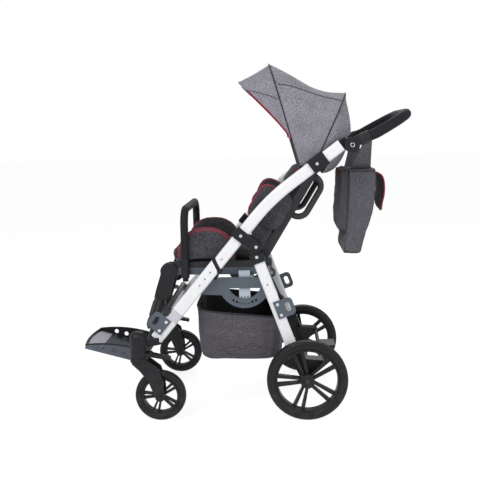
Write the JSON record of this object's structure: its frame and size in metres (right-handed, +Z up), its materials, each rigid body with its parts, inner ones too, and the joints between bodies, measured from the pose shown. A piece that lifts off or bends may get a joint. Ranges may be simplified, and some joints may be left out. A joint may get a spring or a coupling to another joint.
{
  "type": "special needs buggy",
  "caption": "Folding special needs buggy with white four-bar frame, tilting padded seat, canopy, bumper bar, leg rest with foot tray, swivel casters, tie-down loops, basket and bag",
  "frame": {"origin": "on the floor under the middle of the overall length and width", "axes": "+X forwards, +Y to the rider's left, +Z up"},
  "size_m": [1.2158, 0.622, 1.2459],
  "materials": {
    "white_paint": "white powder coat",
    "slate_paint": "satin slate paint",
    "pale_paint": "pale grey paint",
    "dark_frame": "black powder coat",
    "black_plastic": "moulded, fine grain",
    "tyre": "matte solid tyre",
    "foam_rubber": "matte foam",
    "bolt_steel": "zinc plated",
    "charcoal_fabric": "padded woven cover",
    "grey_fabric": "grey melange weave",
    "black_web": "woven webbing"
  },
  "bodies": {
    "seat_base": {"quadrant_plates": "slate_paint", "base_tubes": "slate_paint", "basket": "grey_fabric"},
    "front_legs": {"front_tubes": "white_paint", "front_hinge_blocks": "black_plastic", "front_cross_tube": "white_paint", "caster_housings": "black_plastic", "front_tie_downs": "slate_paint", "front_bolts": "bolt_steel"},
    "upper_frame": {"push_tubes": "white_paint", "upper_hinge_blocks": "black_plastic", "sleeve_brackets": "black_plastic", "upper_cross_tube": "white_paint", "canopy_clamps": "black_plastic", "handle_hubs": "black_plastic", "upper_bolts": "bolt_steel", "canopy_rear_bow": "dark_frame", "canopy_drape": "grey_fabric", "canopy_fabric": "grey_fabric", "bag": "grey_fabric"},
    "rear_legs": {"rear_tubes": "white_paint", "leg_sockets": "black_plastic", "axle_brackets": "black_plastic", "rear_axle": "dark_frame", "rear_tie_downs": "slate_paint", "rear_bolts": "bolt_steel"},
    "brake": {"brake_bar": "black_plastic"},
    "seat": {"seat_frame": "dark_frame", "seat_cushion": "charcoal_fabric", "hip_bolsters": "charcoal_fabric", "latch_brackets": "pale_paint", "bumper_sockets": "black_plastic"},
    "bumper": {"bumper_bar": "foam_rubber"},
    "backrest": {"back_frame": "dark_frame", "back_cushion": "charcoal_fabric", "side_wings": "charcoal_fabric"},
    "leg_rest": {"knee_covers": "black_plastic", "leg_bars": "dark_frame", "calf_pad": "charcoal_fabric"},
    "foot_tray": {"footplate": "black_plastic"},
    "handle": {"handle_bar": "dark_frame", "handle_grip": "foam_rubber", "arm_sockets": "black_plastic", "bag_straps": "black_web"},
    "canopy_front": {"canopy_front_bow": "dark_frame", "canopy_visor": "grey_fabric"},
    "swivel_lock_left": {"swivel_lock_left": "black_plastic"},
    "caster_left": {"caster_fork_left": "black_plastic"},
    "front_wheel_left": {"front_tyre_left": "tyre", "front_rim_left": "black_plastic"},
    "rear_wheel_left": {"rear_tyre_left": "tyre", "rear_rim_left": "black_plastic"},
    "handle_button_left": {"handle_button_left": "black_plastic"},
    "swivel_lock_right": {"swivel_lock_right": "black_plastic"},
    "caster_right": {"caster_fork_right": "black_plastic"},
    "front_wheel_right": {"front_tyre_right": "tyre", "front_rim_right": "black_plastic"},
    "rear_wheel_right": {"rear_tyre_right": "tyre", "rear_rim_right": "black_plastic"},
    "handle_button_right": {"handle_button_right": "black_plastic"}
  },
  "joints": [
    {"name": "frame_fold", "type": "hinge", "parent": "seat_base", "child": "front_legs", "pos_m": [0.14377, 0, 0.452], "axis": [0, 1, 0], "range_deg": [0, 44.5]},
    {"name": "upper_fold", "type": "hinge", "parent": "front_legs", "child": "upper_frame", "pos_m": [0.07177, 0, 0.525], "axis": [0, 1, 0], "range_deg": [-65.5, 0]},
    {"name": "rear_fold", "type": "hinge", "parent": "upper_frame", "child": "rear_legs", "pos_m": [-0.05823, 0, 0.611], "axis": [0, 1, 0], "range_deg": [0, 36.6]},
    {"name": "seat_tilt", "type": "hinge", "parent": "seat_base", "child": "seat", "pos_m": [-0.01323, 0, 0.48], "axis": [0, 1, 0], "range_deg": [-15, 0]},
    {"name": "back_recline", "type": "hinge", "parent": "seat", "child": "backrest", "pos_m": [-0.07123, 0, 0.545], "axis": [0, -1, 0], "range_deg": [-15, 0]},
    {"name": "leg_raise", "type": "hinge", "parent": "seat", "child": "leg_rest", "pos_m": [0.25777, 0, 0.518], "axis": [0, 1, 0], "range_deg": [-50, 0]},
    {"name": "foot_fold", "type": "hinge", "parent": "leg_rest", "child": "foot_tray", "pos_m": [0.36222, 0, 0.19654], "axis": [0, 1, 0], "range_deg": [-45, 0]},
    {"name": "bumper_lift", "type": "slide", "parent": "seat", "child": "bumper", "axis": [0, 0, -1], "range_m": [-0.08, 0]},
    {"name": "handle_angle", "type": "hinge", "parent": "upper_frame", "child": "handle", "pos_m": [-0.39122, 0, 0.957], "axis": [0, 1, 0], "range_deg": [-30, 30], "deforming": ["bag_straps"]},
    {"name": "canopy_fold", "type": "hinge", "parent": "upper_frame", "child": "canopy_front", "pos_m": [-0.21723, 0, 0.872], "axis": [0, 1, 0], "range_deg": [-45, 0], "deforming": ["canopy_fabric"]},
    {"name": "brake_press", "type": "hinge", "parent": "rear_legs", "child": "brake", "pos_m": [-0.28323, 0, 0.196], "axis": [0, 1, 0], "range_deg": [-15, 0]},
    {"name": "lock_press_left", "type": "hinge", "parent": "front_legs", "child": "swivel_lock_left", "pos_m": [0.32077, 0.28, 0.238], "axis": [0, 1, 0], "range_deg": [-12, 0]},
    {"name": "caster_swivel_left", "type": "hinge", "parent": "front_legs", "child": "caster_left", "pos_m": [0.36177, 0.28, 0.23], "axis": [0, 0, 1], "continuous": true},
    {"name": "front_wheel_spin_left", "type": "hinge", "parent": "caster_left", "child": "front_wheel_left", "pos_m": [0.28777, 0.28, 0.09], "axis": [0, 1, 0], "continuous": true},
    {"name": "rear_wheel_spin_left", "type": "hinge", "parent": "rear_legs", "child": "rear_wheel_left", "pos_m": [-0.23123, 0.28, 0.1425], "axis": [0, 1, 0], "continuous": true},
    {"name": "button_press_left", "type": "slide", "parent": "handle", "child": "handle_button_left", "axis": [0, -1, 0], "range_m": [0, 0.003]},
    {"name": "lock_press_right", "type": "hinge", "parent": "front_legs", "child": "swivel_lock_right", "pos_m": [0.32077, -0.28, 0.238], "axis": [0, 1, 0], "range_deg": [-12, 0]},
    {"name": "caster_swivel_right", "type": "hinge", "parent": "front_legs", "child": "caster_right", "pos_m": [0.36177, -0.28, 0.23], "axis": [0, 0, 1], "continuous": true},
    {"name": "front_wheel_spin_right", "type": "hinge", "parent": "caster_right", "child": "front_wheel_right", "pos_m": [0.28777, -0.28, 0.09], "axis": [0, 1, 0], "continuous": true},
    {"name": "rear_wheel_spin_right", "type": "hinge", "parent": "rear_legs", "child": "rear_wheel_right", "pos_m": [-0.23123, -0.28, 0.1425], "axis": [0, 1, 0], "continuous": true},
    {"name": "button_press_right", "type": "slide", "parent": "handle", "child": "handle_button_right", "axis": [0, 1, 0], "range_m": [0, 0.003]}
  ],
  "couplings": [
    {"joint": "upper_fold", "follows": "frame_fold", "ratio": -1.4692},
    {"joint": "rear_fold", "follows": "frame_fold", "ratio": 0.8193}
  ]
}
